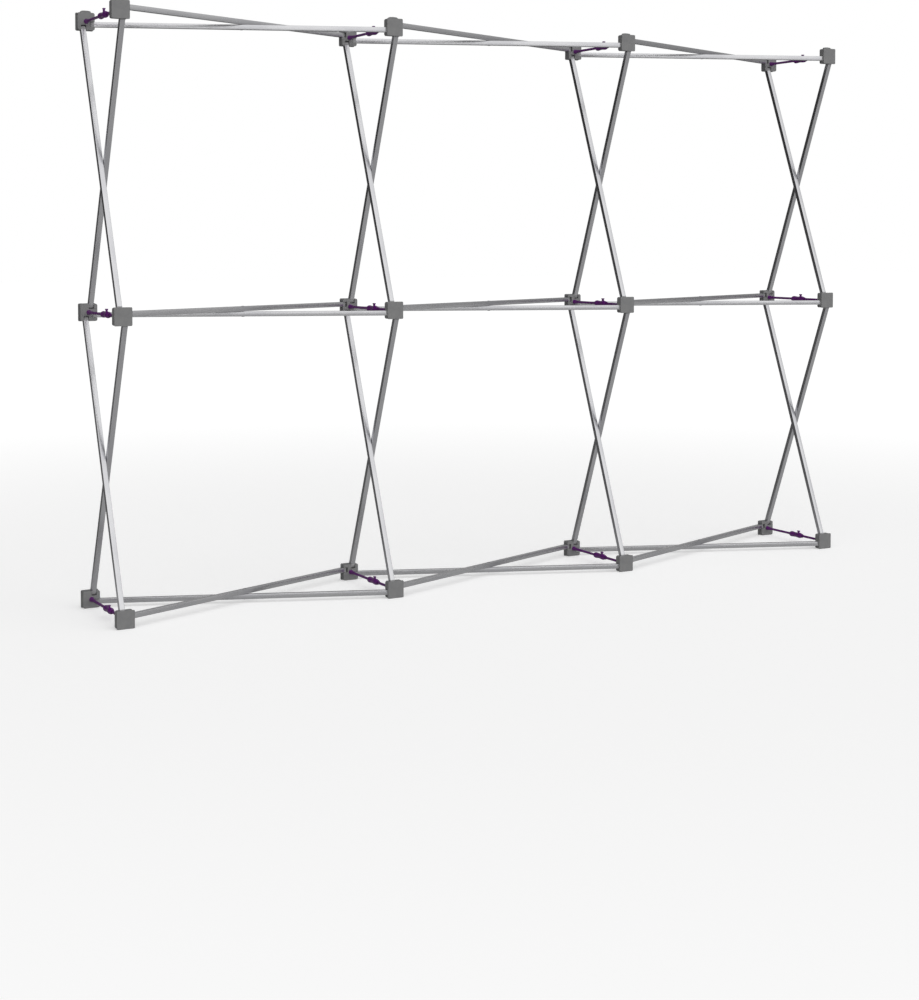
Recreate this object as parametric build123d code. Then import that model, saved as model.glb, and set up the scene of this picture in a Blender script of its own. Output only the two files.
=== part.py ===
from build123d import *
import os
from math import atan2, degrees, hypot

# A pop-up display frame: square hubs in two layers, front and rear, joined by
# crossed pairs of square tubes and held open by snap-together arms.
# +X runs across the frame, +Z up, and -Y is the face that the fabric covers.
# The origin is on the table, at the middle of the frame.

# Layout of the frame
COLUMNS = 4
ROWS = 3
HUB_PITCH = 728.0
FRAME_DEPTH = 290.0

# Tubes
TUBE_SIDE = 12.7
TUBE_WALL = 1.2
PAIR_GAP = 0.8
END_CAP_LENGTH = 7.0
END_PLUG_LENGTH = 16.0
END_PLUG_CLEARANCE = 0.05
END_NOSE_ARC = 30.0

# Hubs
HUB_SIDE = 45.0
CAP_THICKNESS = 3.0
CAP_CORNER = 1.5
BODY_CORNER = 5.0
BODY_INSET = 0.6
SLOT_CLEARANCE = 0.3
SLOT_END_CLEARANCE = 0.65
FOLD_MARGIN = 0.15
LUG_BEHIND_PIN = 10.0

# Crown: a tab that stands on each hub of the top row
CROWN_WIDTH = 26.0
CROWN_HEIGHT = 4.5
CROWN_THICKNESS = 7.0
CROWN_FROM_FRONT = 13.0
CROWN_CORNER = 4.0

# Pivots. Small round parts have a few flat sides, because there are so many.
PIN_SIDES = 6
PIN_RADIUS = 2.0
PIN_CLEARANCE = 0.06
RIVET_RADIUS = 2.4
RIVET_HEAD_RADIUS = 4.5
RIVET_HEAD_HEIGHT = 1.0
RIVET_FLOAT = 0.1

# Locking arms
ARM_SIDES = 8
ARM_ROOT_RADIUS = 6.5
ARM_ROOT_LENGTH = 32.0
ROD_RADIUS = 3.5
PLUG_ROD_LENGTH = 83.0
PLUG_DEPTH = 42.0
SOCKET_LENGTH = 62.0
SOCKET_RADIUS = 8.3
SOCKET_WAIST_RADIUS = 7.0
SOCKET_TAPER = 13.0
SOCKET_MOUTH_RADIUS = 5.6
SOCKET_CLEARANCE = 0.3
SOCKET_END_WALL = 9.0

# Release tab on the socket
TAB_FROM_MOUTH = 14.0
TAB_WIDTH = 4.6
TAB_LENGTH = 5.6
TAB_TOP = 15.0
TAB_CAP_HEIGHT = 2.8
TAB_CAP_OVERHANG = 0.9
TAB_FROM_TUBE = 0.7

# Places worked out from the sizes above
TUBE_OFFSET = PAIR_GAP / 2 + TUBE_SIDE / 2
PIVOT_DEPTH = CAP_THICKNESS + SLOT_END_CLEARANCE + TUBE_SIDE / 2
PIVOT_OFFSET = HUB_SIDE / 2 - TUBE_SIDE / 2 - FOLD_MARGIN
HUB_DEPTH = PIVOT_DEPTH + LUG_BEHIND_PIN
SLOT_LOW = TUBE_OFFSET - TUBE_SIDE / 2 - SLOT_CLEARANCE
SLOT_WIDTH = TUBE_SIDE + 2 * SLOT_CLEARANCE
SLOT_START = PIVOT_OFFSET - TUBE_SIDE / 2 - SLOT_END_CLEARANCE

# Between the pins of two hubs: the run along the frame and the run through it
PIN_RUN = HUB_PITCH - 2 * PIVOT_OFFSET
PIN_DEPTH_RUN = FRAME_DEPTH - 2 * PIVOT_DEPTH
TUBE_LENGTH = hypot(PIN_RUN, PIN_DEPTH_RUN)
OPEN_ANGLE = degrees(atan2(PIN_DEPTH_RUN, PIN_RUN))

ARM_SPAN = FRAME_DEPTH - 2 * HUB_DEPTH
SOCKET_ROD_LENGTH = ARM_SPAN - PLUG_ROD_LENGTH - SOCKET_LENGTH

ROW_NAMES = ["bottom", "middle", "top"]
TIER_NAMES = ["lower", "upper"]
LEVEL = (Align.CENTER, Align.CENTER, Align.MIN)
CORNERED = (Align.MIN, Align.MIN, Align.MIN)
# A quarter turn of the hub, seen from outside, takes one slot to the next
SLOT_TURNS = {"right": 0, "up": -90, "left": -180, "down": -270}


def column_x(column):
    """Centre of a column of hubs."""
    return (column - (COLUMNS - 1) / 2) * HUB_PITCH


def row_z(row):
    """Centre of a row of hubs; the bottom row stands on the table."""
    return HUB_SIDE / 2 + row * HUB_PITCH


def slab(outline, start, depth):
    """An outline drawn across the frame, made solid from start inwards."""
    return Pos(0, start, 0) * extrude(Plane.XZ * outline, amount=-depth)


def square_with_corners(side, corner):
    """A square with its corners cut off at 45 degrees."""
    square = Rectangle(side, side)
    return chamfer(square.vertices(), corner)


def slot_cut():
    """Slot on the right of a hub, open to the side and to the back."""
    reach = HUB_SIDE - SLOT_START
    cut = Box(reach, HUB_DEPTH, SLOT_WIDTH, align=CORNERED)
    return Pos(SLOT_START, CAP_THICKNESS, SLOT_LOW) * cut


def pivot_pin():
    """Steel pin across the slot on the right of a hub, from lug to lug."""
    pin = extrude(RegularPolygon(PIN_RADIUS, PIN_SIDES), amount=SLOT_WIDTH)
    return (Pos(PIVOT_OFFSET, PIVOT_DEPTH, SLOT_LOW) * pin).solid()


def crown():
    """Tab on top of a top-row hub, with its upper corners cut."""
    height = CROWN_HEIGHT + CROWN_CORNER
    tab = Box(CROWN_WIDTH, CROWN_THICKNESS, height, align=LEVEL)
    ends = tab.edges().filter_by(Axis.Y).group_by(Axis.Z)[-1]
    tab = chamfer(ends, CROWN_CORNER)
    return Pos(0, CROWN_FROM_FRONT, HUB_SIDE / 2 - CROWN_CORNER) * tab


def hub_moulding(slots, has_crown):
    """One grey hub: a square cap, and lugs that the slots leave behind it."""
    cap = slab(square_with_corners(HUB_SIDE, CAP_CORNER), 0, CAP_THICKNESS)
    side = HUB_SIDE - 2 * BODY_INSET
    body = slab(square_with_corners(side, BODY_CORNER), CAP_THICKNESS, HUB_DEPTH - CAP_THICKNESS)
    hub = cap + body
    if has_crown:
        hub += crown()
    for slot in slots:
        hub -= Rot(0, SLOT_TURNS[slot], 0) * slot_cut()
    return hub.solid()


def many_sided(stations):
    """A long part with flat sides, through (distance, radius) stations.

    The loft's sides are flat, and each is made again as a true plane.
    """
    rings = [
        Pos(0, distance, 0) * (Plane.XZ * RegularPolygon(radius, ARM_SIDES))
        for distance, radius in stations
    ]
    sides = loft(rings, ruled=True).faces()
    return Solid(Shell([Face(side.outer_wire()) for side in sides]))


def plug_arm():
    """Front half of a locking arm: a rod that ends in a plug."""
    shoulder = HUB_DEPTH + PLUG_ROD_LENGTH
    tip = shoulder + PLUG_DEPTH
    return many_sided([
        (HUB_DEPTH, ARM_ROOT_RADIUS),
        (HUB_DEPTH + ARM_ROOT_LENGTH, ROD_RADIUS),
        (tip, ROD_RADIUS),
    ])


def release_tab(mouth):
    """Thumb tab on the socket, beside the line of the tube that folds over it."""
    middle = TAB_WIDTH / 2 + TAB_CAP_OVERHANG + TAB_FROM_TUBE - PAIR_GAP / 2
    place = Pos(middle, mouth - TAB_FROM_MOUTH, 0)
    stem = Box(TAB_WIDTH, TAB_LENGTH, TAB_TOP - TAB_CAP_HEIGHT, align=LEVEL)
    cap_width = TAB_WIDTH + 2 * TAB_CAP_OVERHANG
    cap_length = TAB_LENGTH + 2 * TAB_CAP_OVERHANG
    cap = Box(cap_width, cap_length, TAB_CAP_HEIGHT, align=LEVEL)
    return place * (stem + Pos(0, 0, TAB_TOP - TAB_CAP_HEIGHT) * cap)


def socket_arm():
    """Rear half of a locking arm: a rod that ends in a hollow socket."""
    start = HUB_DEPTH + SOCKET_ROD_LENGTH
    mouth = start + SOCKET_LENGTH
    arm = many_sided([
        (HUB_DEPTH, ARM_ROOT_RADIUS),
        (HUB_DEPTH + ARM_ROOT_LENGTH, ROD_RADIUS),
        (start, ROD_RADIUS),
        (start + SOCKET_TAPER, SOCKET_RADIUS),
        (start + SOCKET_LENGTH / 2, SOCKET_WAIST_RADIUS),
        (mouth - SOCKET_TAPER, SOCKET_RADIUS),
        (mouth, SOCKET_MOUTH_RADIUS),
    ])
    arm += release_tab(mouth)
    room = RegularPolygon(ROD_RADIUS + SOCKET_CLEARANCE, ARM_SIDES, major_radius=False)
    depth = SOCKET_LENGTH - SOCKET_END_WALL
    arm -= slab(room, mouth - depth, depth + SOCKET_CLEARANCE)
    return arm.solid()


def hub_slots(column, row, side):
    """Slots that carry a tube, named as seen from outside that hub."""
    toward_right = column < COLUMNS - 1 if side == "front" else column > 0
    toward_left = column > 0 if side == "front" else column < COLUMNS - 1
    carries = {
        "right": toward_right,
        "up": row < ROWS - 1,
        "left": toward_left,
        "down": row > 0,
    }
    return [slot for slot, used in carries.items() if used]


def hub_place(column, row, side):
    """A rear hub is the front hub turned half round."""
    if side == "front":
        return Pos(column_x(column), -FRAME_DEPTH / 2, row_z(row))
    return Pos(column_x(column), FRAME_DEPTH / 2, row_z(row)) * Rot(0, 0, 180)


def hub_pieces(column, row, side):
    """A hub with its pins and its half of the locking arm."""
    slots = hub_slots(column, row, side)
    pieces = [hub_moulding(slots, row == ROWS - 1)]
    pieces.append(plug_arm() if side == "front" else socket_arm())
    pieces += [Rot(0, SLOT_TURNS[slot], 0) * pivot_pin() for slot in slots]
    place = hub_place(column, row, side)
    return [place * piece for piece in pieces]


def end_cap():
    """Nylon end of a tube: a nose rounded about the pin, and a plug inside the tube."""
    half = TUBE_SIDE / 2
    nose = CenterArc((0, 0), half, 180 - END_NOSE_ARC / 2, END_NOSE_ARC)
    square_end = Polyline(
        nose @ 1,
        (0, -half),
        (END_CAP_LENGTH, -half),
        (END_CAP_LENGTH, half),
        (0, half),
        nose @ 0,
    )
    outline = make_face(nose + square_end)
    bore = PIN_RADIUS + PIN_CLEARANCE
    outline -= RegularPolygon(bore, PIN_SIDES, major_radius=False)
    cap = Pos(0, 0, -half) * extrude(outline, amount=TUBE_SIDE)
    side = TUBE_SIDE - 2 * (TUBE_WALL + END_PLUG_CLEARANCE)
    plug = Box(END_PLUG_LENGTH, side, side, align=(Align.MIN, Align.CENTER, Align.CENTER))
    return (cap + Pos(END_CAP_LENGTH, 0, 0) * plug).solid()


def centre_rivet():
    """Rivet from the tube that holds it, through the other tube of the pair."""
    face = TUBE_SIDE / 2
    far = face + PAIR_GAP + TUBE_SIDE + RIVET_FLOAT
    head = extrude(RegularPolygon(RIVET_HEAD_RADIUS, PIN_SIDES), amount=RIVET_HEAD_HEIGHT)
    shank = extrude(RegularPolygon(RIVET_RADIUS, PIN_SIDES), amount=far - face)
    rivet = Pos(0, 0, -far) * shank
    rivet += Pos(0, 0, face) * head
    rivet += Pos(0, 0, -far - RIVET_HEAD_HEIGHT) * head
    return rivet


def rivet_drill():
    """Hole for the rivet, through both walls of a tube."""
    hole = RegularPolygon(RIVET_RADIUS + PIN_CLEARANCE, PIN_SIDES, major_radius=False)
    return extrude(hole, amount=TUBE_SIDE, both=True)


def square_tube(holds_rivet):
    """Aluminium tube between the end caps, with its rivet or the hole for one."""
    length = TUBE_LENGTH - 2 * END_CAP_LENGTH
    inside = TUBE_SIDE - 2 * TUBE_WALL
    tube = Box(length, TUBE_SIDE, TUBE_SIDE) - Box(length, inside, inside)
    if holds_rivet:
        tube += centre_rivet()
    else:
        tube -= rivet_drill()
    return (Pos(TUBE_LENGTH / 2, 0, 0) * tube).solid()


def tube_pieces(place, holds_rivet):
    """A tube from one pin to the next, with its end caps."""
    far_end = Pos(TUBE_LENGTH, 0, 0) * Rot(0, 0, 180)
    pieces = [square_tube(holds_rivet), end_cap(), far_end * end_cap()]
    return [place * piece for piece in pieces]


def across_place(column, row, side):
    """From a hub's pin to the hub one column on, in the other layer."""
    outward = -1 if side == "front" else 1
    pin_x = column_x(column) + PIVOT_OFFSET
    pin_y = outward * (FRAME_DEPTH / 2 - PIVOT_DEPTH)
    pin_z = row_z(row) - outward * TUBE_OFFSET
    return Pos(pin_x, pin_y, pin_z) * Rot(0, 0, -outward * OPEN_ANGLE)


def upright_place(column, tier, side):
    """From a hub's pin to the hub one row up, in the other layer."""
    outward = -1 if side == "front" else 1
    pin_x = column_x(column) + outward * TUBE_OFFSET
    pin_y = outward * (FRAME_DEPTH / 2 - PIVOT_DEPTH)
    pin_z = row_z(tier) + PIVOT_OFFSET
    return Pos(pin_x, pin_y, pin_z) * Rot(outward * OPEN_ANGLE, 0, 0) * Rot(0, -90, 0)


def write_node(name, pieces):
    """One STEP file per node, with its pieces as separate solids."""
    export_step(Compound(label=name, children=pieces), f"parts/{name}.step")


os.makedirs("parts", exist_ok=True)

for side in ("front", "rear"):
    for row in range(ROWS):
        for column in range(COLUMNS):
            name = f"{side}_hub_{ROW_NAMES[row]}_{column + 1}"
            write_node(name, hub_pieces(column, row, side))

for side in ("front", "rear"):
    for row in range(ROWS):
        for column in range(COLUMNS - 1):
            name = f"across_tube_{ROW_NAMES[row]}_{column + 1}_from_{side}"
            write_node(name, tube_pieces(across_place(column, row, side), side == "front"))

for side in ("front", "rear"):
    for tier in range(ROWS - 1):
        for column in range(COLUMNS):
            name = f"upright_tube_{TIER_NAMES[tier]}_{column + 1}_from_{side}"
            write_node(name, tube_pieces(upright_place(column, tier, side), side == "front"))

print("tube length between pins", round(TUBE_LENGTH, 3), "open angle", round(OPEN_ANGLE, 4))
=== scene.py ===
# %% [markdown]
# A pop-up display frame stands on a table: grey plastic hubs in two layers, pairs of crossed aluminium
# tubes between them, and purple arms that lock the open frame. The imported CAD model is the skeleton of
# this scene. It says where each part is and what moves with what, so it is loaded first, and every
# piece made below rides on one of its bodies.

from math import cos, hypot, pi, radians, sin

import bmesh
import bpy
from mathutils import Matrix, Vector


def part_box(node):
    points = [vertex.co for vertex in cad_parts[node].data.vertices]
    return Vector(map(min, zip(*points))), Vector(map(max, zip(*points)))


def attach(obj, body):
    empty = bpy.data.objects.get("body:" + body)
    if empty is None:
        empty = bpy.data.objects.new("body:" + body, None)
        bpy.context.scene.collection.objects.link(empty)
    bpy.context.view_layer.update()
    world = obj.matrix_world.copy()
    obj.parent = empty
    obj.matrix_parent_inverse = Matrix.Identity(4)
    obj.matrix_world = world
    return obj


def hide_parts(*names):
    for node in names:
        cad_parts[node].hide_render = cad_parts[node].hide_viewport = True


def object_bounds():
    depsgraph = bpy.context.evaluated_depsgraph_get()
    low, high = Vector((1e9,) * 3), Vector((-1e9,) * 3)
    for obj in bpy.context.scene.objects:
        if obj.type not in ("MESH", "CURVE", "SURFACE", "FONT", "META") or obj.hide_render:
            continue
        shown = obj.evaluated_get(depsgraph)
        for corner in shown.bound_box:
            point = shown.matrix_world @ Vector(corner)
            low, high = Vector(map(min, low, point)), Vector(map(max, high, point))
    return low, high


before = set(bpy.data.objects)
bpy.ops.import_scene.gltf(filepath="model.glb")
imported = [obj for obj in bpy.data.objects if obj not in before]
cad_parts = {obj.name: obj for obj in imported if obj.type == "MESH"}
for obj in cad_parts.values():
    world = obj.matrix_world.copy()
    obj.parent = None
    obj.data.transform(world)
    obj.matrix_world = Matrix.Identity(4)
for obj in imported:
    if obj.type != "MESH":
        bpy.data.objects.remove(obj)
bpy.context.scene.view_settings.view_transform = "Standard"
cad_low, cad_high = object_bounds()
MM = 0.001

# %% [markdown]
# The frame is a lattice, so a few measures place everything. They could be typed in, but read from the
# boxes of two hubs they follow the CAD model if it changes. Only the sizes of the pivots, which no box
# shows, are written down, as the hub and tube were designed with them.

# %% Measure the lattice
COLUMNS = 4
ROW_NAMES = ["bottom", "middle", "top"]
TIER_NAMES = ["lower", "upper"]
ROWS = len(ROW_NAMES)
SIDES = ("front", "rear")

first_low, first_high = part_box("front_hub_bottom_1")
next_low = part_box("front_hub_bottom_2")[0]
HUB_SIDE = first_high.x - first_low.x
HUB_PITCH = next_low.x - first_low.x
FRAME_DEPTH = cad_high.y - cad_low.y

TUBE_SIDE = 12.7 * MM
PAIR_GAP = 0.8 * MM
PIVOT_DEPTH = 10 * MM
PIVOT_OFFSET = 16 * MM
HUB_DEPTH = 20 * MM
SLOT_LOW = 0.1 * MM
SLOT_WIDTH = 13.3 * MM
SLOT_START = 9 * MM

TUBE_OFFSET = (PAIR_GAP + TUBE_SIDE) / 2
PIN_RUN = HUB_PITCH - 2 * PIVOT_OFFSET
PIN_DEPTH_RUN = FRAME_DEPTH - 2 * PIVOT_DEPTH
TUBE_LENGTH = hypot(PIN_RUN, PIN_DEPTH_RUN)


def hub_name(side, column, row):
    return f"{side}_hub_{ROW_NAMES[row]}_{column + 1}"


def hub_place(side, column, row):
    """Where a hub stands: its origin is the middle of its outer face, and +Y goes into the frame."""
    low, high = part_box(hub_name(side, column, row))
    middle = Vector(((low.x + high.x) / 2, low.y, low.z + HUB_SIDE / 2))
    if side == "front":
        return Matrix.Translation(middle)
    middle.y = high.y
    return Matrix.Translation(middle) @ Matrix.Rotation(pi, 4, "Z")


def hub_slots(side, column, row):
    """Which sides of a hub carry a tube, as seen from outside it."""
    beside = {"right": column < COLUMNS - 1, "left": column > 0}
    if side == "rear":
        beside = {"right": beside["left"], "left": beside["right"]}
    beside |= {"up": row < ROWS - 1, "down": row > 0}
    return tuple(slot for slot in ("right", "up", "left", "down") if beside[slot])


print(f"hub side {HUB_SIDE:.4f}, pitch {HUB_PITCH:.4f}, depth {FRAME_DEPTH:.4f}, tube {TUBE_LENGTH:.4f} m")

# %% [markdown]
# Most parts here are prisms, an outline pushed through a depth, and the arms and rivets are turned
# bodies. Both could be cut from Blender's cubes and cylinders with Boolean modifiers. Walking the
# outline as a list of points is easier to read and change, and leaves no stray faces behind. An edge
# sharper than ROUNDING_ANGLE counts as a sharp one, so curved stretches stay smooth.

# %% Helpers for meshes
ROUNDING_ANGLE = radians(35)


def finish_mesh(name, work):
    """Turns a bmesh into mesh data with smooth shading."""
    bmesh.ops.remove_doubles(work, verts=work.verts, dist=1e-7)
    bmesh.ops.recalc_face_normals(work, faces=work.faces)
    data = bpy.data.meshes.new(name)
    work.to_mesh(data)
    work.free()
    data.shade_smooth()
    data.set_sharp_from_angle(angle=ROUNDING_ANGLE)
    return data


def add_prism(work, outline, start, depth):
    """Adds a closed prism: outline holds (x, z) points, and the prism runs along +Y from start."""
    near = [work.verts.new((x, start, z)) for x, z in outline]
    far = [work.verts.new((x, start + depth, z)) for x, z in outline]
    work.faces.new(near)
    work.faces.new(reversed(far))
    for i, vert in enumerate(near):
        j = (i + 1) % len(near)
        work.faces.new((near[j], vert, far[i], far[j]))


def add_lathe(work, profile, segments):
    """Adds a body of revolution about Y from (distance, radius) points, closed at both ends."""
    rings = []
    for distance, radius in profile:
        turns = [2 * pi * k / segments for k in range(segments)]
        rings.append([work.verts.new((radius * cos(a), distance, radius * sin(a))) for a in turns])
    for near, far in zip(rings, rings[1:]):
        for k in range(segments):
            after = (k + 1) % segments
            work.faces.new((near[k], near[after], far[after], far[k]))
    work.faces.new(rings[0])
    work.faces.new(reversed(rings[-1]))


def arc(centre_x, centre_z, radius, start, end, steps):
    """Points along a round corner, with angles in degrees."""
    angles = [radians(start + (end - start) * k / steps) for k in range(steps + 1)]
    return [(centre_x + radius * cos(a), centre_z + radius * sin(a)) for a in angles]


print("a quarter of a round corner has", len(arc(0, 0, 1, 0, 90, 6)), "points")

# %% [markdown]
# No real edge is perfectly sharp, and the thin light that a rounded edge catches is what makes a
# moulding look real. The rounding could be drawn into every outline. A Bevel modifier does it
# afterwards, so the outlines stay plain. Each piece then gets its place, and the body that it rides on.

# %% Helpers for pieces
def round_edges(piece, width, segments=3):
    """Rounds the sharp edges of a piece."""
    bevel = piece.modifiers.new("rounded edges", "BEVEL")
    bevel.width = width
    bevel.segments = segments
    bevel.limit_method = "ANGLE"
    bevel.angle_limit = ROUNDING_ANGLE
    bevel.harden_normals = True


def place_piece(name, data, place, body):
    """Puts a piece where it belongs in the frame and lets it ride on a body."""
    piece = bpy.data.objects.new(name, data)
    bpy.context.scene.collection.objects.link(piece)
    piece.matrix_world = place
    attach(piece, body)
    return piece


print("pieces can ride on", len(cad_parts), "nodes of the frame")

# %% [markdown]
# A shader node group is a small tool that several materials share. It could also be copied into each
# material, but then one change would have to be made many times. These helpers add one node each and
# hand back its socket, so that a group reads like a short recipe.

# %% Helpers for shader nodes
def new_group(name, inputs, outputs):
    """An empty node group with named sockets. Each input is (name, kind, value)."""
    group = bpy.data.node_groups.new(name, "ShaderNodeTree")
    for title, kind, value in inputs:
        socket = group.interface.new_socket(title, in_out="INPUT", socket_type=kind)
        if value is not None:
            socket.default_value = value
    for title in outputs:
        group.interface.new_socket(title, in_out="OUTPUT", socket_type="NodeSocketFloat")
    start = group.nodes.new("NodeGroupInput")
    end = group.nodes.new("NodeGroupOutput")
    return group, start, end


def math_node(tree, operation, first, second=None):
    """A Math node whose inputs are sockets or numbers."""
    node = tree.nodes.new("ShaderNodeMath")
    node.operation = operation
    for socket, value in zip(node.inputs, (first, second)):
        if isinstance(value, bpy.types.NodeSocket):
            tree.links.new(value, socket)
        elif value is not None:
            socket.default_value = value
    return node.outputs[0]


def noise_node(tree, vector, scale, detail=2.0, roughness=0.5):
    node = tree.nodes.new("ShaderNodeTexNoise")
    node.inputs["Scale"].default_value = scale
    node.inputs["Detail"].default_value = detail
    node.inputs["Roughness"].default_value = roughness
    tree.links.new(vector, node.inputs["Vector"])
    return node.outputs["Fac"]


def stretch(tree, vector, scale):
    """Multiplies a point by a scale for each axis."""
    node = tree.nodes.new("ShaderNodeVectorMath")
    node.operation = "MULTIPLY"
    node.inputs[1].default_value = scale
    tree.links.new(vector, node.inputs[0])
    return node.outputs[0]


def fade(tree, value, low, high):
    """A smooth ramp from 0 at low to 1 at high."""
    node = tree.nodes.new("ShaderNodeMapRange")
    node.interpolation_type = "SMOOTHSTEP"
    node.inputs["From Min"].default_value = low
    node.inputs["From Max"].default_value = high
    tree.links.new(value, node.inputs["Value"])
    return node.outputs["Result"]


print("shader groups so far:", len(bpy.data.node_groups))

# %% [markdown]
# Moulded plastic is never one flat colour. The mould's spark-eroded skin leaves a fine grain, the
# colour is a little cloudy, and handling polishes it in streaks. Three noise textures of different
# sizes give these as a height and two masks. The piece's own coordinates are used, so that the grain
# stays on the plastic when the frame folds.

# %% Shader group: moulded grain
GRAIN_FINE = 2600
GRAIN_COARSE = 900
CLOUD_SCALE = 55
CLOUD_BLEND = (0.3, 0.7)
SCUFF_SCALE = 140
SCUFF_STRETCH = (1, 1, 0.25)
SCUFF_BLEND = (0.56, 0.74)


def make_moulded_grain():
    """The spark-eroded grain of a moulding tool, and slow cloudiness in the plastic."""
    group, start, end = new_group(
        "moulded grain",
        [("Point", "NodeSocketVector", None), ("Grain Size", "NodeSocketFloat", 1.0)],
        ["Height", "Cloud", "Scuff"],
    )
    sized = group.nodes.new("ShaderNodeVectorMath")
    sized.operation = "SCALE"
    group.links.new(start.outputs["Point"], sized.inputs[0])
    group.links.new(start.outputs["Grain Size"], sized.inputs["Scale"])
    fine = noise_node(group, sized.outputs[0], GRAIN_FINE, detail=3, roughness=0.6)
    coarse = noise_node(group, sized.outputs[0], GRAIN_COARSE)
    group.links.new(math_node(group, "ADD", fine, coarse), end.inputs["Height"])
    cloud = noise_node(group, start.outputs["Point"], CLOUD_SCALE, detail=3, roughness=0.55)
    group.links.new(fade(group, cloud, *CLOUD_BLEND), end.inputs["Cloud"])
    drawn_out = stretch(group, start.outputs["Point"], SCUFF_STRETCH)
    rub = noise_node(group, drawn_out, SCUFF_SCALE, detail=5, roughness=0.7)
    group.links.new(fade(group, rub, *SCUFF_BLEND), end.inputs["Scuff"])
    return group


MOULDED_GRAIN = make_moulded_grain()
print("made shader group:", MOULDED_GRAIN.name)

# %% [markdown]
# A drawn tube carries fine lines along its length, left by the die, and dull smears from hands. Noise
# that is stretched along the tube's X axis gives both. A mask also picks out the tube's corners, where a
# painted highlight lightens the colour: a point is on a corner where it is far from the middle in both
# directions across the tube.

# %% Shader group: drawn lines
LINES_FINE = (3, 1500, 1500)
LINES_BROAD = (1.2, 420, 420)
SMEAR_STRETCH = (6, 40, 40)
SMEAR_BLEND = (0.42, 0.66)
CORNER_BLEND = (0.86, 0.98)


def make_drawn_lines():
    """Lines that a die leaves along a drawn tube, and the marks of hands on it."""
    group, start, end = new_group(
        "drawn lines",
        [("Point", "NodeSocketVector", None), ("Half Side", "NodeSocketFloat", TUBE_SIDE / 2)],
        ["Lines", "Smear", "Corner"],
    )
    point = start.outputs["Point"]
    fine = noise_node(group, stretch(group, point, LINES_FINE), 1, detail=3, roughness=0.6)
    broad = noise_node(group, stretch(group, point, LINES_BROAD), 1)
    group.links.new(math_node(group, "ADD", fine, broad), end.inputs["Lines"])
    smear = noise_node(group, stretch(group, point, SMEAR_STRETCH), 1, detail=4, roughness=0.6)
    group.links.new(fade(group, smear, *SMEAR_BLEND), end.inputs["Smear"])
    split = group.nodes.new("ShaderNodeSeparateXYZ")
    group.links.new(point, split.inputs[0])
    across = math_node(group, "ABSOLUTE", split.outputs["Y"])
    up = math_node(group, "ABSOLUTE", split.outputs["Z"])
    nearer = math_node(group, "MINIMUM", across, up)
    share = math_node(group, "DIVIDE", nearer, start.outputs["Half Side"])
    group.links.new(fade(group, share, *CORNER_BLEND), end.inputs["Corner"])
    return group


DRAWN_LINES = make_drawn_lines()
print("made shader group:", DRAWN_LINES.name)

# %% [markdown]
# Each material is the same few steps: a Principled shader, the piece's own coordinates, a group, and
# blends that turn the group's masks into colour and roughness. Colours are written as the eye reads
# them on a screen, and turned into the linear values that the shader works in.


# %% Helpers for materials
def linear(*colour):
    """An RGB colour as read off a screen, 0 to 255, in the shader's linear values."""
    shares = [value / 255 for value in colour]
    return tuple(s / 12.92 if s <= 0.04045 else ((s + 0.055) / 1.055) ** 2.4 for s in shares) + (1.0,)


def new_material(name):
    """A material with its Principled shader and the piece's own coordinates."""
    material = bpy.data.materials.new(name)
    material.use_nodes = True
    tree = material.node_tree
    shader = tree.nodes["Principled BSDF"]
    point = tree.nodes.new("ShaderNodeTexCoord").outputs["Object"]
    return material, tree, shader, point


def use_group(tree, group, point):
    node = tree.nodes.new("ShaderNodeGroup")
    node.node_tree = group
    tree.links.new(point, node.inputs["Point"])
    return node


def blend_colours(tree, mask, low, high):
    """A colour that goes from low to high with a mask. Both are sockets or colours."""
    node = tree.nodes.new("ShaderNodeMix")
    node.data_type = "RGBA"
    for socket, colour in ((node.inputs["A"], low), (node.inputs["B"], high)):
        if isinstance(colour, bpy.types.NodeSocket):
            tree.links.new(colour, socket)
        else:
            socket.default_value = colour
    tree.links.new(mask, node.inputs["Factor"])
    return node.outputs["Result"]


def blend_values(tree, mask, low, high):
    """A number that goes from low to high with a mask."""
    node = tree.nodes.new("ShaderNodeMapRange")
    node.inputs["To Min"].default_value = low
    node.inputs["To Max"].default_value = high
    tree.links.new(mask, node.inputs["Value"])
    return node.outputs["Result"]


def add_bump(tree, shader, height, strength, distance):
    bump = tree.nodes.new("ShaderNodeBump")
    bump.inputs["Strength"].default_value = strength
    bump.inputs["Distance"].default_value = distance
    tree.links.new(height, bump.inputs["Height"])
    tree.links.new(bump.outputs["Normal"], shader.inputs["Normal"])


print("mid grey is", round(linear(128, 128, 128)[0], 3), "in linear values")

# %% [markdown]
# The hubs are moulded in grey nylon, dull and faintly grained, and the arms in a glossier purple
# plastic. Both are one recipe with other numbers: how dark and light the clouds are, how rough the
# plastic is where it is untouched and where it is polished, and how deep the grain goes.

# %% Moulded plastics
GRAIN_STRENGTH = 0.35


def moulded_plastic(name, dark, light, rough, polished, grain_depth):
    """Moulded plastic: cloudy colour, fine grain, and scuffs that are smoother than the rest."""
    material, tree, shader, point = new_material(name)
    grain = use_group(tree, MOULDED_GRAIN, point)
    tree.links.new(blend_colours(tree, grain.outputs["Cloud"], dark, light), shader.inputs["Base Color"])
    tree.links.new(blend_values(tree, grain.outputs["Scuff"], rough, polished), shader.inputs["Roughness"])
    add_bump(tree, shader, grain.outputs["Height"], GRAIN_STRENGTH, grain_depth)
    return material


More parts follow.
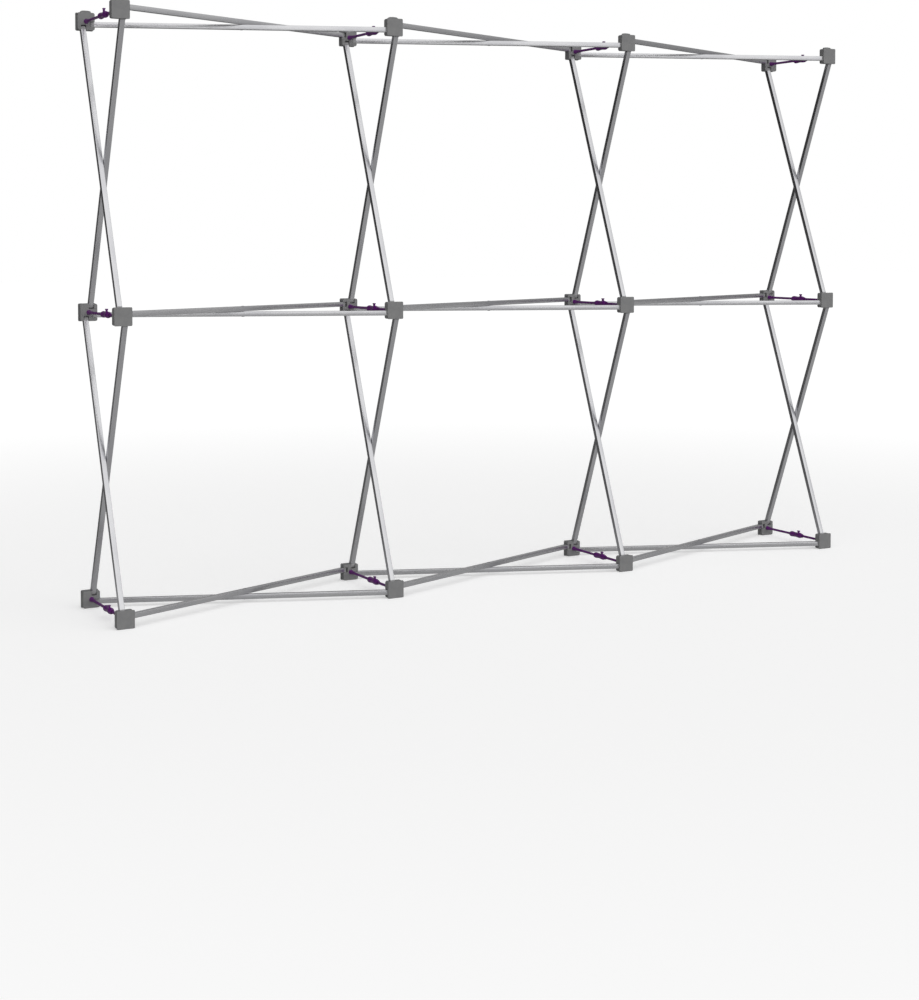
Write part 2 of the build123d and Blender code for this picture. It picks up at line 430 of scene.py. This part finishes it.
HUB_GREY = moulded_plastic(
    "hub grey nylon",
    dark=linear(122, 122, 123),
    light=linear(129, 129, 129),
    rough=0.62,
    polished=0.5,
    grain_depth=0.08 * MM,
)
ARM_PURPLE = moulded_plastic(
    "arm purple",
    dark=linear(88, 18, 102),
    light=linear(98, 24, 114),
    rough=0.36,
    polished=0.28,
    grain_depth=0.02 * MM,
)
END_GREY = moulded_plastic(
    "end cap grey",
    dark=linear(150, 150, 152),
    light=linear(160, 160, 161),
    rough=0.5,
    polished=0.4,
    grain_depth=0.05 * MM,
)
print("made plastics:", HUB_GREY.name, "-", ARM_PURPLE.name, "-", END_GREY.name)

# %% [markdown]
# The tubes are drawn aluminium with a satin anodised skin, so most of their look is what they reflect:
# one face of a tube is bright and the next is dark. A plain metal with a middling roughness does that
# by itself. The lines and smears only break it up a little, and a painted highlight lightens the corners.

# %% Drawn metals
# Painted highlight: the tube's corners are blended towards this lighter colour, by this share.
CORNER_HIGHLIGHT_COLOUR = linear(232, 232, 234)
CORNER_HIGHLIGHT_SHARE = 0.35
DULL_ROUGHNESS = 0.30
CLEAN_ROUGHNESS = 0.24
LINE_STRENGTH = 0.05
LINE_DEPTH = 0.03 * MM


def drawn_aluminium(name, dark, light):
    """Anodised tube: drawn lines, dull smears, and a painted highlight that lightens the corners."""
    material, tree, shader, point = new_material(name)
    shader.inputs["Metallic"].default_value = 1.0
    lines = use_group(tree, DRAWN_LINES, point)
    lines.inputs["Half Side"].default_value = TUBE_SIDE / 2
    body = blend_colours(tree, lines.outputs["Smear"], dark, light)
    # Painted highlight along the tube's corners.
    corner_highlight = math_node(tree, "MULTIPLY", lines.outputs["Corner"], CORNER_HIGHLIGHT_SHARE)
    tree.links.new(blend_colours(tree, corner_highlight, body, CORNER_HIGHLIGHT_COLOUR), shader.inputs["Base Color"])
    roughness = blend_values(tree, lines.outputs["Smear"], DULL_ROUGHNESS, CLEAN_ROUGHNESS)
    tree.links.new(roughness, shader.inputs["Roughness"])
    add_bump(tree, shader, lines.outputs["Lines"], LINE_STRENGTH, LINE_DEPTH)
    return material


ALUMINIUM = drawn_aluminium("satin anodised tube", linear(196, 196, 199), linear(205, 205, 207))
STEEL = drawn_aluminium("rivet steel", linear(150, 150, 153), linear(165, 165, 168))
print("made metals:", ALUMINIUM.name, "and", STEEL.name)

# %% [markdown]
# A hub is one moulding: a thin square cap that the print fastens to, and behind it a block that four
# slots cut into a pinwheel, so that the two tubes of each crossed pair pass side by side. The block's
# outline is walked side by side, with a notch where a tube enters, and then pushed backwards. Outer
# sides that carry no tube stay closed. The hubs of the top row have a raised tab as well.

# %% Outlines of a hub
CAP_THICKNESS = 3 * MM
CAP_CORNER = 3 * MM
BODY_INSET = 0.6 * MM
BODY_CORNER = 5 * MM
BODY_SINK = 1.5 * MM
HUB_EDGE = 0.7 * MM
CROWN_HALF_WIDTH = 13 * MM
CROWN_HEIGHT = 4.5 * MM
CROWN_RISE = 0.5 * MM
CROWN_THICKNESS = 7 * MM
CROWN_FROM_FRONT = 13 * MM
CROWN_CORNER = 4 * MM
CROWN_CORNER_TURN = 78
CROWN_DOME_SHARES = (0.6, 0.3, 0)
CORNER_STEPS = 6


def turned(points, quarters):
    """Turns (x, z) points by quarter turns, the way that takes the right side to the top."""
    for _ in range(quarters):
        points = [(-z, x) for x, z in points]
    return points


def cap_outline():
    half = HUB_SIDE / 2
    corner = half - CAP_CORNER
    one = arc(corner, corner, CAP_CORNER, 0, 90, CORNER_STEPS)
    return [point for quarter in range(4) for point in turned(one, quarter)]


def body_outline(slots):
    half = HUB_SIDE / 2 - BODY_INSET
    corner = half - BODY_CORNER
    notch = [
        (half, SLOT_LOW),
        (SLOT_START, SLOT_LOW),
        (SLOT_START, SLOT_LOW + SLOT_WIDTH),
        (half, SLOT_LOW + SLOT_WIDTH),
    ]
    outline = []
    for quarter, slot in enumerate(("right", "up", "left", "down")):
        side = notch if slot in slots else []
        side = side + arc(corner, corner, BODY_CORNER, 0, 90, CORNER_STEPS)
        outline += turned(side, quarter)
    return outline


def crown_outline():
    """The tab on a top hub, from inside the moulding up to a slightly domed top."""
    base = HUB_SIDE / 2 - CROWN_CORNER
    top = HUB_SIDE / 2 + CROWN_HEIGHT - CROWN_RISE
    inner = CROWN_HALF_WIDTH - CROWN_CORNER
    corner = arc(inner, top - CROWN_CORNER, CROWN_CORNER, 0, CROWN_CORNER_TURN, CORNER_STEPS)
    right = [(CROWN_HALF_WIDTH, base)] + corner
    dome = [(inner * share, top + CROWN_RISE * (1 - share * share)) for share in CROWN_DOME_SHARES]
    left = [(-x, z) for x, z in reversed(right + dome[:-1])]
    return right + dome + left


print("a middle hub's block is walked in", len(body_outline(("right", "up", "left", "down"))), "points")

# %% [markdown]
# There are 24 hubs but only a few kinds, told apart by which sides carry a tube and by the tab on top.
# Hubs of one kind share one mesh, which keeps the file small, and a change to one shows on all. Each
# hub's piece takes the place of its CAD node on screen, while that node stays for the physics.

# %% Hub mouldings
def hub_mesh(slots, crowned):
    work = bmesh.new()
    add_prism(work, cap_outline(), 0, CAP_THICKNESS)
    add_prism(work, body_outline(slots), CAP_THICKNESS - BODY_SINK, HUB_DEPTH - CAP_THICKNESS + BODY_SINK)
    if crowned:
        add_prism(work, crown_outline(), CROWN_FROM_FRONT - CROWN_THICKNESS / 2, CROWN_THICKNESS)
    data = finish_mesh("hub moulding", work)
    data.materials.append(HUB_GREY)
    return data


hub_meshes = {}
hubs = [(side, column, row) for side in SIDES for row in range(ROWS) for column in range(COLUMNS)]
for side, column, row in hubs:
    name = hub_name(side, column, row)
    kind = hub_slots(side, column, row), row == ROWS - 1
    if kind not in hub_meshes:
        hub_meshes[kind] = hub_mesh(*kind)
    moulding = place_piece(f"moulding_{name}", hub_meshes[kind], hub_place(side, column, row), name)
    round_edges(moulding, HUB_EDGE)
    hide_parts(name)
print("placed", len(hubs), "hub mouldings of", len(hub_meshes), "kinds")

# %% [markdown]
# Each slot holds a steel pin for the eye of a tube. The pins of a hub are one piece, because they never
# move apart. They lie deep in the slots and show little, so a plain cylinder with the drawn lines of
# steel wire on it is enough.

# %% Pivot pins
PIN_RADIUS = 2 * MM
PIN_SEGMENTS = 24
SLOT_NAMES = ("right", "up", "left", "down")


def pin_mesh(slots):
    work = bmesh.new()
    for slot in slots:
        pin = bmesh.ops.create_cone(
            work,
            cap_ends=True,
            segments=PIN_SEGMENTS,
            radius1=PIN_RADIUS,
            radius2=PIN_RADIUS,
            depth=SLOT_WIDTH,
        )
        middle = Matrix.Translation((PIVOT_OFFSET, PIVOT_DEPTH, SLOT_LOW + SLOT_WIDTH / 2))
        turn = Matrix.Rotation(-pi / 2 * SLOT_NAMES.index(slot), 4, "Y")
        bmesh.ops.transform(work, matrix=turn @ middle, verts=pin["verts"])
    data = finish_mesh("pivot pins", work)
    data.materials.append(STEEL)
    return data


pin_meshes = {}
for side, column, row in hubs:
    slots = hub_slots(side, column, row)
    if slots not in pin_meshes:
        pin_meshes[slots] = pin_mesh(slots)
    name = hub_name(side, column, row)
    place_piece(f"pins_{name}", pin_meshes[slots], hub_place(side, column, row), name)
print("placed pins of", len(pin_meshes), "kinds")

# %% [markdown]
# A locking arm is round all along: a root like a trumpet bell on the hub, a plain rod, and then either
# a plug or a socket. A curve with a bevel could draw it, but a lathe that spins a profile gives the
# groove, the mouth and the bore too. The profile is softened between its main stations, because the
# real moulding has no hard steps.

# %% Profiles of the locking arms
ARM_SEGMENTS = 40
ROOT_RADIUS = 6.5 * MM
ROOT_LENGTH = 32 * MM
ROD_RADIUS = 3.5 * MM
PLUG_ROD_LENGTH = 83 * MM
PLUG_DEPTH = 42 * MM
SOCKET_LENGTH = 62 * MM
SOCKET_RADIUS = 8.2 * MM
WAIST_RADIUS = 7.0 * MM
SOCKET_TAPER = 13 * MM
MOUTH_RADIUS = 5.6 * MM
BORE_RADIUS = 3.8 * MM
SOCKET_END_WALL = 9 * MM
ARM_EDGE = 0.5 * MM
BELL_POWER = 2.2
BELL_STEPS = 10
GROOVE_FROM_TIP = 12 * MM
GROOVE_WIDTH = 3 * MM
GROOVE_SLOPE = 0.6 * MM
GROOVE_DEPTH = 0.7 * MM
# How far each ring of the plug's rounded tip is from its end, and its share of the rod's radius
TIP_RINGS = ((2.5 * MM, 1), (0.8 * MM, 0.8), (0, 0.45))


def bell(start):
    """The root of an arm, wide at the hub and narrowing in a curve to the rod."""
    shares = [k / BELL_STEPS for k in range(BELL_STEPS + 1)]
    flare = ROOT_RADIUS - ROD_RADIUS
    return [(start + ROOT_LENGTH * t, ROD_RADIUS + flare * (1 - t) ** BELL_POWER) for t in shares]


def ease(stations, steps=6):
    """Joins (distance, radius) stations by soft S-curves."""
    points = [stations[0]]
    for (d0, r0), (d1, r1) in zip(stations, stations[1:]):
        for k in range(1, steps + 1):
            t = k / steps
            points.append((d0 + (d1 - d0) * t, r0 + (r1 - r0) * t * t * (3 - 2 * t)))
    return points


def plug_profile():
    tip = HUB_DEPTH + PLUG_ROD_LENGTH + PLUG_DEPTH
    near = tip - GROOVE_FROM_TIP
    far = near + GROOVE_WIDTH
    groove = [
        (near, ROD_RADIUS),
        (near, ROD_RADIUS - GROOVE_DEPTH),
        (far, ROD_RADIUS - GROOVE_DEPTH),
        (far + GROOVE_SLOPE, ROD_RADIUS),
    ]
    return bell(HUB_DEPTH) + groove + [(tip - back, ROD_RADIUS * share) for back, share in TIP_RINGS]


def socket_profile():
    mouth = FRAME_DEPTH - HUB_DEPTH - PLUG_ROD_LENGTH
    start = mouth - SOCKET_LENGTH
    swell = ease([
        (start, ROD_RADIUS),
        (start + SOCKET_TAPER, SOCKET_RADIUS),
        (start + SOCKET_LENGTH / 2, WAIST_RADIUS),
        (mouth - SOCKET_TAPER, SOCKET_RADIUS),
        (mouth, MOUTH_RADIUS),
    ])
    floor = start + SOCKET_END_WALL
    return bell(HUB_DEPTH) + swell + [(mouth, BORE_RADIUS), (floor, BORE_RADIUS), (floor, BORE_RADIUS / 2)]


print("plug profile", len(plug_profile()), "points, socket profile", len(socket_profile()), "points")

# %% [markdown]
# A tab on the socket releases the lock when it is pressed. It is a short stem with a wider grip on it,
# so two blocks that sink into each other are enough. It stands off centre, where the tubes pass it by
# when the frame folds.

# %% Release tab and arm halves
TAB_FROM_MOUTH = 14 * MM
TAB_SIDEWAYS = 3.5 * MM
TAB_STEM = Vector((4.6, 5.6, 0)) * MM
TAB_GRIP = Vector((6.4, 7.4, 0)) * MM
TAB_TOP = 15 * MM
TAB_GRIP_HEIGHT = 2.8 * MM
TAB_FOOT = 5.5 * MM
TAB_SINK = 1 * MM


def add_block(work, low, high):
    """Adds a closed box between two corners."""
    box = bmesh.ops.create_cube(work, size=1)
    size = Matrix.Diagonal((*(high - low), 1))
    bmesh.ops.transform(work, matrix=Matrix.Translation((low + high) / 2) @ size, verts=box["verts"])


def add_release_tab(work):
    along = FRAME_DEPTH - HUB_DEPTH - PLUG_ROD_LENGTH - TAB_FROM_MOUTH
    foot = Vector((TAB_SIDEWAYS, along, TAB_FOOT))
    neck = Vector((TAB_SIDEWAYS, along, TAB_TOP - TAB_GRIP_HEIGHT))
    top = Vector((TAB_SIDEWAYS, along, TAB_TOP))
    add_block(work, foot - TAB_STEM / 2, neck + TAB_STEM / 2 + Vector((0, 0, TAB_SINK)))
    add_block(work, neck - TAB_GRIP / 2, top + TAB_GRIP / 2)


def arm_mesh(name, profile, with_tab):
    work = bmesh.new()
    add_lathe(work, profile, ARM_SEGMENTS)
    if with_tab:
        add_release_tab(work)
    data = finish_mesh(name, work)
    data.materials.append(ARM_PURPLE)
    return data


ARM_MESHES = {
    "front": arm_mesh("plug arm", plug_profile(), False),
    "rear": arm_mesh("socket arm", socket_profile(), True),
}
for side, column, row in hubs:
    name = hub_name(side, column, row)
    arm = place_piece(f"arm_{name}", ARM_MESHES[side], hub_place(side, column, row), name)
    round_edges(arm, ARM_EDGE, 2)
print("placed", len(hubs), "arm halves")

# %% [markdown]
# A tube is drawn through a die, so it has the same section all along: square, thin-walled, with small
# round corners. A solid bar would look the same while caps close its ends. It is made hollow all the
# same, as the real one is, because the plugs of the caps then have a place to go, and nothing sinks
# into anything else. It lies along its own X axis, which the drawn lines of its finish follow.

# %% Square tube
TUBE_WALL = 1.2 * MM
TUBE_CORNER = 1.0 * MM
TUBE_INNER_CORNER = TUBE_CORNER / 4
TUBE_CORNER_STEPS = 4
END_LENGTH = 7 * MM


def square_ring(side, corner):
    """The (y, z) points round a square with round corners."""
    inner = side / 2 - corner
    one = arc(inner, inner, corner, 0, 90, TUBE_CORNER_STEPS)
    return [point for quarter in range(4) for point in turned(one, quarter)]


def tube_mesh():
    """A hollow tube from end cap to end cap, open at both ends."""
    work = bmesh.new()
    outer = square_ring(TUBE_SIDE, TUBE_CORNER)
    inner = square_ring(TUBE_SIDE - 2 * TUBE_WALL, TUBE_INNER_CORNER)
    stations = (END_LENGTH, TUBE_LENGTH - END_LENGTH)
    rings = [
        [work.verts.new((x, y, z)) for y, z in ring] for ring in (outer, inner) for x in stations
    ]
    near_out, far_out, near_in, far_in = rings
    for first, second in ((near_out, far_out), (far_out, far_in), (far_in, near_in), (near_in, near_out)):
        for k in range(len(first)):
            after = (k + 1) % len(first)
            work.faces.new((first[k], first[after], second[after], second[k]))
    data = finish_mesh("square tube", work)
    data.materials.append(ALUMINIUM)
    return data


TUBE_MESH = tube_mesh()
print("square tube of", len(TUBE_MESH.polygons), "faces")

# %% [markdown]
# Each tube ends in a nylon cap with an eye round the hub's pin. Its outline is half round and half
# square: round where it turns in the hub, and square where it meets the tube. One function says how
# far the outline is from the pin in any direction, and rings of points follow it.

# %% Tube ends
END_PLUG = 16 * MM
END_EDGE = 0.4 * MM
PLUG_PLAY = 0.05 * MM
EYE_SEGMENTS = 32
BORE = 2.06 * MM


def eye_reach(angle):
    """How far the eye's outline is from the pin, in one direction."""
    if cos(angle) <= 1e-6:
        return TUBE_SIDE / 2
    beside = abs(sin(angle))
    return min(END_LENGTH / cos(angle), TUBE_SIDE / 2 / beside if beside > 1e-6 else END_LENGTH)


def add_eye(work, flip):
    """An end cap: an eye round the pin, and a plug that goes into the tube."""
    from_pin = Vector((END_LENGTH, TUBE_SIDE / 2)).angle_signed(Vector((1, 0)))
    even = {2 * pi * k / EYE_SEGMENTS for k in range(EYE_SEGMENTS)}
    angles = sorted(even | {from_pin, 2 * pi - from_pin})
    rings = []
    for height in (-TUBE_SIDE / 2, TUBE_SIDE / 2):
        for reach in (eye_reach, lambda angle: BORE):
            rings.append([work.verts.new((cos(a) * reach(a), sin(a) * reach(a), height)) for a in angles])
    low_out, low_in, high_out, high_in = rings
    made = [vert for ring in rings for vert in ring]
    for first, second in ((low_in, low_out), (low_out, high_out), (high_out, high_in), (high_in, low_in)):
        for k in range(len(angles)):
            after = (k + 1) % len(angles)
            work.faces.new((first[k], first[after], second[after], second[k]))
    half = TUBE_SIDE / 2 - TUBE_WALL - PLUG_PLAY
    plug = bmesh.ops.create_cube(work, size=1)["verts"]
    size = Matrix.Diagonal((END_PLUG, 2 * half, 2 * half, 1))
    middle = Matrix.Translation((END_LENGTH + END_PLUG / 2, 0, 0))
    bmesh.ops.transform(work, matrix=middle @ size, verts=plug)
    if flip:
        turn = Matrix.Translation((TUBE_LENGTH, 0, 0)) @ Matrix.Rotation(pi, 4, "Z")
        bmesh.ops.transform(work, matrix=turn, verts=made + list(plug))


def end_mesh():
    work = bmesh.new()
    add_eye(work, False)
    add_eye(work, True)
    data = finish_mesh("tube ends", work)
    data.materials.append(END_GREY)
    return data


END_MESH = end_mesh()
print("two tube ends of", len(END_MESH.polygons), "faces")

# %% [markdown]
# A rivet joins the two tubes of a pair where they cross. It is turned like the arms: a shank through
# both tubes, and a low domed head at each end, which shows as a small spot on the tube.

# %% Rivets
RIVET_RADIUS = 2.4 * MM
RIVET_HEAD_RADIUS = 4.5 * MM
RIVET_HEAD_HEIGHT = 1.0 * MM
RIVET_FLOAT = 0.1 * MM
DOME_ANGLES = (0.15, 0.5, 0.9, 1.2, 1.4)


def rivet_mesh():
    """A rivet through both tubes, with a low domed head at each end."""
    near = TUBE_SIDE / 2
    far = near + PAIR_GAP + TUBE_SIDE + RIVET_FLOAT
    dome = [(RIVET_HEAD_RADIUS * sin(a), RIVET_HEAD_HEIGHT * cos(a)) for a in DOME_ANGLES]
    low = [(-far - height, radius) for radius, height in dome]
    high = [(near + height, radius) for radius, height in reversed(dome)]
    shank = [(-far, RIVET_RADIUS), (near, RIVET_RADIUS)]
    rims = [(-far, RIVET_HEAD_RADIUS), *shank, (near, RIVET_HEAD_RADIUS)]
    work = bmesh.new()
    add_lathe(work, low + rims + high, PIN_SEGMENTS)
    lay = Matrix.Translation((TUBE_LENGTH / 2, 0, 0)) @ Matrix.Rotation(pi / 2, 4, "X")
    bmesh.ops.transform(work, matrix=lay, verts=work.verts)
    data = finish_mesh("rivet", work)
    data.materials.append(STEEL)
    return data


RIVET_MESH = rivet_mesh()
print("rivet of", len(RIVET_MESH.polygons), "faces")

# %% [markdown]
# The tubes run from a hub's pin to the next hub's pin in the other layer, so each one leans by the same
# angle. A matrix says that in one go: a move to the pin, a turn by the lean, and for an upright a
# quarter turn that stands the tube on end. One mesh of each kind then serves all 34 tubes.

# %% Tubes in place
OPEN_ANGLE = Vector((PIN_RUN, PIN_DEPTH_RUN)).angle_signed(Vector((1, 0)))
OUTWARD = {"front": -1, "rear": 1}


def across_place(side, column, row):
    """From a hub's pin to the hub one column on, in the other layer."""
    out = OUTWARD[side]
    centre = hub_place("front", column, row).translation
    pin = Vector((centre.x + PIVOT_OFFSET, out * PIN_DEPTH_RUN / 2, centre.z - out * TUBE_OFFSET))
    return Matrix.Translation(pin) @ Matrix.Rotation(-out * OPEN_ANGLE, 4, "Z")


def upright_place(side, column, tier):
    """From a hub's pin to the hub one row up, in the other layer."""
    out = OUTWARD[side]
    centre = hub_place("front", column, tier).translation
    pin = Vector((centre.x + out * TUBE_OFFSET, out * PIN_DEPTH_RUN / 2, centre.z + PIVOT_OFFSET))
    lean = Matrix.Rotation(out * OPEN_ANGLE, 4, "X")
    return Matrix.Translation(pin) @ lean @ Matrix.Rotation(-pi / 2, 4, "Y")


def place_tube(name, side, place):
    tube = place_piece(f"tube_{name}", TUBE_MESH, place, name)
    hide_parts(name)
    ends = place_piece(f"ends_{name}", END_MESH, place, name)
    round_edges(ends, END_EDGE, 2)
    if side == "front":
        rivet = place_piece(f"rivet_{name}", RIVET_MESH, place, name)
        round_edges(rivet, END_EDGE / 2, 2)


for side in SIDES:
    for row in range(ROWS):
        for column in range(COLUMNS - 1):
            name = f"across_tube_{ROW_NAMES[row]}_{column + 1}_from_{side}"
            place_tube(name, side, across_place(side, column, row))
    for tier in range(ROWS - 1):
        for column in range(COLUMNS):
            name = f"upright_tube_{TIER_NAMES[tier]}_{column + 1}_from_{side}"
            place_tube(name, side, upright_place(side, column, tier))
print("placed", len([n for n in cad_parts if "tube" in n]), "tubes with their ends and rivets")

# %% [markdown]
# The photograph shows the frame against plain white, lit softly from the camera's side, so faces that
# look forward or up are bright and those that look left or back are dark. Lamps could do that, but they
# would show as spots on the tubes. One large sky is softer: its brightness depends only on direction.
# The camera sees white in place of the sky. Metal sees only a dim share of that white, because the left
# edges of the tubes are dark in the photograph.

# %% Sky
KEY_TOWARDS = Vector((-0.05, -0.9, 0.43)).normalized()
KEY_REACH = (0.08, 0.86)
KEY_GLOW = 1.2
BACK_TOWARDS = Vector((0.75, 0.6, 0.3)).normalized()
BACK_REACH = (0.2, 0.95)
BACK_GLOW = 0.35
SKY_DARK = 0.01
SKY_FILL = 0.10
BACKDROP_IN_METAL = 0.02


def sky_glow(tree, direction, towards, reach, strength):
    """A soft patch of light in the sky round one direction."""
    dot = tree.nodes.new("ShaderNodeVectorMath")
    dot.operation = "DOT_PRODUCT"
    dot.inputs[1].default_value = towards
    tree.links.new(direction, dot.inputs[0])
    return math_node(tree, "MULTIPLY", fade(tree, dot.outputs["Value"], *reach), strength)


def white_rays(tree, path):
    """How white a ray finds the backdrop: fully from the camera, and a dim share in a reflection."""
    mirrored = math_node(tree, "ADD", path.outputs["Is Glossy Ray"], path.outputs["Is Transmission Ray"])
    dimmed = math_node(tree, "MULTIPLY", mirrored, BACKDROP_IN_METAL)
    return math_node(tree, "MAXIMUM", path.outputs["Is Camera Ray"], dimmed)


def make_sky():
    """The camera sees white, and metal a dim share of it; two glows and a little fill light the frame."""
    world = bpy.data.worlds.new("studio")
    bpy.context.scene.world = world
    world.use_nodes = True
    tree = world.node_tree
    background = tree.nodes["Background"]
    background.inputs["Color"].default_value = (1, 1, 1, 1)
    direction = tree.nodes.new("ShaderNodeTexCoord").outputs["Generated"]
    path = tree.nodes.new("ShaderNodeLightPath")
    key = sky_glow(tree, direction, KEY_TOWARDS, KEY_REACH, KEY_GLOW)
    back = sky_glow(tree, direction, BACK_TOWARDS, BACK_REACH, BACK_GLOW)
    fill = math_node(tree, "MULTIPLY", path.outputs["Is Diffuse Ray"], SKY_FILL)
    lights = math_node(tree, "ADD", key, back)
    glows = math_node(tree, "ADD", lights, math_node(tree, "ADD", fill, SKY_DARK))
    white = white_rays(tree, path)
    seen = tree.nodes.new("ShaderNodeMix")
    seen.data_type = "FLOAT"
    seen.inputs["B"].default_value = 1.0
    tree.links.new(white, seen.inputs["Factor"])
    tree.links.new(glows, seen.inputs["A"])
    tree.links.new(seen.outputs["Result"], background.inputs["Strength"])


make_sky()
print("made the sky:", bpy.context.scene.world.name)

# %% [markdown]
# The floor is plain and pale. Near the frame it is a surface that takes soft shadows, and further out it
# fades to the white of the backdrop, so that no horizon shows. In reflections the floor is darker behind
# the frame, which keeps the tubes' left edges dark lower down as well.

# %% Floor
FLOOR_SIZE = 60
FLOOR_NEAR = 1.3
FLOOR_FAR = 5.0
FLOOR_GLOW = 0.38
FLOOR_ROUGHNESS = 0.9
FLOOR_BEHIND = (0.1, 0.8)
FLOOR_PALE = (0.8, 0.8, 0.8, 1)
FLOOR_MIRRORED = (0.62, 0.62, 0.62, 1)
FLOOR_SHADED = (0.15, 0.15, 0.15, 1)


def make_floor():
    """A pale floor that keeps soft shadows, and turns white far from the frame."""
    work = bmesh.new()
    half = FLOOR_SIZE / 2
    corners = [(-half, -half), (half, -half), (half, half), (-half, half)]
    work.faces.new([work.verts.new((x, y, 0)) for x, y in corners])
    data = bpy.data.meshes.new("floor")
    work.to_mesh(data)
    work.free()
    floor = bpy.data.objects.new("floor", data)
    bpy.context.scene.collection.objects.link(floor)
    material, tree, shader, point = new_material("pale floor")
    shader.inputs["Roughness"].default_value = FLOOR_ROUGHNESS
    shader.inputs["Emission Color"].default_value = (1, 1, 1, 1)
    distance = tree.nodes.new("ShaderNodeVectorMath")
    distance.operation = "LENGTH"
    tree.links.new(point, distance.inputs[0])
    far = fade(tree, distance.outputs["Value"], FLOOR_NEAR, FLOOR_FAR)
    shade = blend_colours(tree, far, FLOOR_PALE, (0, 0, 0, 1))
    split = tree.nodes.new("ShaderNodeSeparateXYZ")
    tree.links.new(point, split.inputs[0])
    behind = fade(tree, split.outputs["Y"], *FLOOR_BEHIND)
    path = tree.nodes.new("ShaderNodeLightPath")
    mirrored = blend_colours(tree, behind, FLOOR_MIRRORED, FLOOR_SHADED)
    colour = blend_colours(tree, path.outputs["Is Camera Ray"], mirrored, shade)
    tree.links.new(colour, shader.inputs["Base Color"])
    seen = white_rays(tree, path)
    glow = blend_values(tree, far, FLOOR_GLOW, 1.0)
    tree.links.new(math_node(tree, "MULTIPLY", seen, glow), shader.inputs["Emission Strength"])
    data.materials.append(material)


make_floor()
print("made the floor,", FLOOR_SIZE, "m wide")

# %% [markdown]
# The camera stands to the left of the frame, a little above half its height, and looks slightly down.
# Its lens and place were fitted to the centres of the hubs in the photograph. A camera that tilts more
# would frame the picture too, but its uprights would lean, so a vertical shift does the rest.

# %% Camera
LENS_IN_WIDTHS = 1.7225
SENSOR = 36.0
CAMERA_TURN = radians(29.363)
CAMERA_PITCH = radians(-2.5)
CAMERA_FROM_HUB = Vector((-1.8002, -5.4399, 1.2623))
CAMERA_SHIFT = (0.0, -0.1883)


def make_camera():
    data = bpy.data.cameras.new("camera")
    camera = bpy.data.objects.new("camera", data)
    bpy.context.scene.collection.objects.link(camera)
    bpy.context.scene.camera = camera
    data.sensor_width = SENSOR
    data.lens = LENS_IN_WIDTHS * SENSOR
    data.shift_x, data.shift_y = CAMERA_SHIFT
    corner = hub_place("front", 0, 0).translation
    camera.location = corner + CAMERA_FROM_HUB * HUB_PITCH
    camera.rotation_euler = (pi / 2 + CAMERA_PITCH, 0, -CAMERA_TURN)
    return camera


camera = make_camera()
print("camera at", [round(v, 3) for v in camera.location])

# %% [markdown]
# Last, the scene is brought up to date, so that every piece stands where it was placed.

# %% Bring the scene up to date
bpy.context.view_layer.update()
